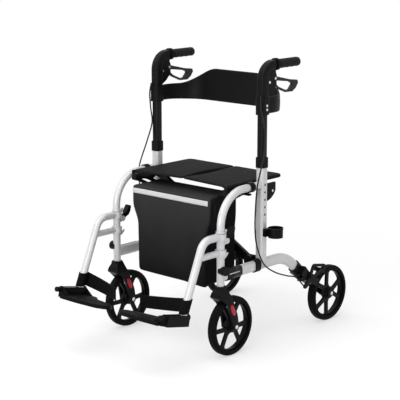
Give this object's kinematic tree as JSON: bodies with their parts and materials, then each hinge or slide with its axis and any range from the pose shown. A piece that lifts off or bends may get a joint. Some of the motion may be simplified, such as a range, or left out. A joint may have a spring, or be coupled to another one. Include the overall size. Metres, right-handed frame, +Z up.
{
  "type": "rollator transport chair",
  "caption": "Folding rollator that serves as a transport chair: seat, backrest band, bag, swing-away footrests, height-adjustable handles and loop brakes on a tube frame with caster wheels.",
  "frame": {"origin": "middle of the object's box on the floor", "axes": "+Z up, the front with the footrests faces -Y, the chair's left side is at +X"},
  "size_m": [0.5874, 0.9596, 0.96],
  "materials": {
    "silver_paint": "satin",
    "black_paint": "satin",
    "black_plastic": "satin",
    "black_gloss": "gloss",
    "wheel_plastic": "satin",
    "plate_plastic": "matte",
    "grip_rubber": "matte",
    "tyre": "matte",
    "cable_jacket": "satin",
    "bright_steel": "bright",
    "seat_cloth": "matte",
    "bag_cloth": "matte",
    "back_foam": "satin",
    "webbing": "matte"
  },
  "bodies": {
    "left_side": {"left_frame": "silver_paint", "left_knuckle": "black_plastic", "left_saddle": "black_plastic", "left_collar": "black_plastic", "left_rear_fork": "black_plastic", "left_rear_axle": "bright_steel", "left_brake_cable": "cable_jacket", "bag": "bag_cloth", "holder_cup": "black_plastic"},
    "left_handle": {"left_handle_tube": "black_paint", "left_handle_shell": "black_plastic", "left_grip": "grip_rubber", "left_handle_bolts": "bright_steel", "left_back_bracket": "black_plastic", "backrest": "back_foam"},
    "left_lever": {"left_brake_lever": "black_gloss"},
    "left_caster": {"left_caster_fork": "black_plastic", "left_front_axle": "bright_steel"},
    "left_front_wheel": {"left_front_rim": "wheel_plastic", "left_front_tyre": "tyre"},
    "left_rear_wheel": {"left_rear_rim": "wheel_plastic", "left_rear_tyre": "tyre"},
    "left_brake": {"left_brake_arm": "black_plastic"},
    "left_footrest": {"left_hanger": "silver_paint", "left_hinge_block": "black_plastic", "left_heel_strap": "webbing"},
    "left_plate": {"left_footplate": "plate_plastic"},
    "left_release": {"left_release_lever": "black_plastic"},
    "left_seat": {"left_seat_panel": "seat_cloth"},
    "right_side": {"right_frame": "silver_paint", "right_knuckle": "black_plastic", "right_saddle": "black_plastic", "right_collar": "black_plastic", "right_rear_fork": "black_plastic", "right_rear_axle": "bright_steel", "right_brake_cable": "cable_jacket"},
    "right_handle": {"right_handle_tube": "black_paint", "right_handle_shell": "black_plastic", "right_grip": "grip_rubber", "right_handle_bolts": "bright_steel", "right_back_bracket": "black_plastic"},
    "right_lever": {"right_brake_lever": "black_gloss"},
    "right_caster": {"right_caster_fork": "black_plastic", "right_front_axle": "bright_steel"},
    "right_front_wheel": {"right_front_rim": "wheel_plastic", "right_front_tyre": "tyre"},
    "right_rear_wheel": {"right_rear_rim": "wheel_plastic", "right_rear_tyre": "tyre"},
    "right_brake": {"right_brake_arm": "black_plastic"},
    "right_footrest": {"right_hanger": "silver_paint", "right_hinge_block": "black_plastic", "right_heel_strap": "webbing"},
    "right_plate": {"right_footplate": "plate_plastic"},
    "right_release": {"right_release_lever": "black_plastic"},
    "right_seat": {"right_seat_panel": "seat_cloth"},
    "brace_a": {"brace_a": "black_paint", "right_seat_bar": "black_paint"},
    "brace_b": {"brace_b": "black_paint", "left_seat_bar": "black_paint"}
  },
  "joints": [
    {"name": "frame_fold", "type": "hinge", "parent": "left_side", "child": "brace_a", "pos_m": [0.19075, -0.01717, 0.298], "axis": [0, 1, 0], "range_deg": [0, 36], "deforming": ["bag", "backrest"]},
    {"name": "cross_pivot", "type": "hinge", "parent": "brace_a", "child": "brace_b", "pos_m": [-0.01525, -0.02317, 0.4175], "axis": [0, 1, 0], "range_deg": [-72, 0]},
    {"name": "right_side_pivot", "type": "hinge", "parent": "brace_b", "child": "right_side", "pos_m": [-0.22125, -0.03017, 0.298], "axis": [0, 1, 0], "range_deg": [0, 36]},
    {"name": "left_seat_hinge", "type": "hinge", "parent": "brace_b", "child": "left_seat", "pos_m": [0.19475, 0.00183, 0.556], "axis": [0, 1, 0], "range_deg": [0, 126]},
    {"name": "right_seat_hinge", "type": "hinge", "parent": "brace_a", "child": "right_seat", "pos_m": [-0.22525, 0.00183, 0.556], "axis": [0, 1, 0], "range_deg": [-126, 0]},
    {"name": "left_handle_slide", "type": "slide", "parent": "left_side", "child": "left_handle", "axis": [0, 0, 1], "range_m": [-0.125, 0], "deforming": ["left_brake_cable"]},
    {"name": "left_brake_lever", "type": "hinge", "parent": "left_handle", "child": "left_lever", "pos_m": [0.22275, 0.05983, 0.897], "axis": [1, 0, 0], "range_deg": [0, 12], "stiffness_Nm_per_rad": 3, "springref_deg": -2.86},
    {"name": "left_brake_shoe", "type": "hinge", "parent": "left_side", "child": "left_brake", "pos_m": [0.25725, 0.24365, 0.19094], "axis": [-1, 0, 0], "range_deg": [0, 2.4]},
    {"name": "left_caster_swivel", "type": "hinge", "parent": "left_side", "child": "left_caster", "pos_m": [0.22275, -0.19317, 0.27], "axis": [0, 0, 1], "continuous": true},
    {"name": "left_front_wheel_spin", "type": "hinge", "parent": "left_caster", "child": "left_front_wheel", "pos_m": [0.22275, -0.14417, 0.1], "axis": [1, 0, 0], "continuous": true},
    {"name": "left_rear_wheel_spin", "type": "hinge", "parent": "left_side", "child": "left_rear_wheel", "pos_m": [0.22775, 0.37983, 0.1], "axis": [1, 0, 0], "continuous": true},
    {"name": "left_footrest_swing", "type": "hinge", "parent": "left_side", "child": "left_footrest", "pos_m": [0.22275, -0.19317, 0.382], "axis": [0, 0, 1], "range_deg": [0, 95]},
    {"name": "left_plate_flip", "type": "hinge", "parent": "left_footrest", "child": "left_plate", "pos_m": [0.22275, -0.37438, 0.18093], "axis": [0, 0.9781, -0.2079], "range_deg": [0, 90], "deforming": ["left_heel_strap"]},
    {"name": "left_release_lever", "type": "hinge", "parent": "left_footrest", "child": "left_release", "pos_m": [0.22275, -0.16847, 0.392], "axis": [1, 0, 0], "range_deg": [0, 25], "stiffness_Nm_per_rad": 0.3, "springref_deg": -11.46},
    {"name": "right_handle_slide", "type": "slide", "parent": "right_side", "child": "right_handle", "axis": [0, 0, 1], "range_m": [-0.125, 0], "deforming": ["right_brake_cable"]},
    {"name": "right_brake_lever", "type": "hinge", "parent": "right_handle", "child": "right_lever", "pos_m": [-0.25325, 0.05983, 0.897], "axis": [1, 0, 0], "range_deg": [0, 12], "stiffness_Nm_per_rad": 3, "springref_deg": -2.86},
    {"name": "right_brake_shoe", "type": "hinge", "parent": "right_side", "child": "right_brake", "pos_m": [-0.28775, 0.24365, 0.19094], "axis": [-1, 0, 0], "range_deg": [0, 2.4]},
    {"name": "right_caster_swivel", "type": "hinge", "parent": "right_side", "child": "right_caster", "pos_m": [-0.25325, -0.19317, 0.27], "axis": [0, 0, 1], "continuous": true},
    {"name": "right_front_wheel_spin", "type": "hinge", "parent": "right_caster", "child": "right_front_wheel", "pos_m": [-0.25325, -0.14417, 0.1], "axis": [1, 0, 0], "continuous": true},
    {"name": "right_rear_wheel_spin", "type": "hinge", "parent": "right_side", "child": "right_rear_wheel", "pos_m": [-0.25825, 0.37983, 0.1], "axis": [1, 0, 0], "continuous": true},
    {"name": "right_footrest_swing", "type": "hinge", "parent": "right_side", "child": "right_footrest", "pos_m": [-0.25325, -0.19317, 0.382], "axis": [0, 0, -1], "range_deg": [0, 95]},
    {"name": "right_plate_flip", "type": "hinge", "parent": "right_footrest", "child": "right_plate", "pos_m": [-0.25325, -0.37438, 0.18093], "axis": [0, -0.9781, 0.2079], "range_deg": [0, 90], "deforming": ["right_heel_strap"]},
    {"name": "right_release_lever", "type": "hinge", "parent": "right_footrest", "child": "right_release", "pos_m": [-0.25325, -0.16847, 0.392], "axis": [1, 0, 0], "range_deg": [0, 25], "stiffness_Nm_per_rad": 0.3, "springref_deg": -11.46}
  ],
  "couplings": [
    {"joint": "cross_pivot", "follows": "frame_fold", "ratio": -2},
    {"joint": "right_side_pivot", "follows": "frame_fold", "ratio": 1},
    {"joint": "left_seat_hinge", "follows": "frame_fold", "ratio": 3.5},
    {"joint": "right_seat_hinge", "follows": "frame_fold", "ratio": -3.5},
    {"joint": "left_brake_shoe", "follows": "left_brake_lever", "ratio": 0.2},
    {"joint": "left_plate_flip", "follows": "frame_fold", "ratio": 2.5},
    {"joint": "right_handle_slide", "follows": "left_handle_slide", "ratio": 1},
    {"joint": "right_brake_shoe", "follows": "right_brake_lever", "ratio": 0.2},
    {"joint": "right_plate_flip", "follows": "frame_fold", "ratio": 2.5}
  ]
}
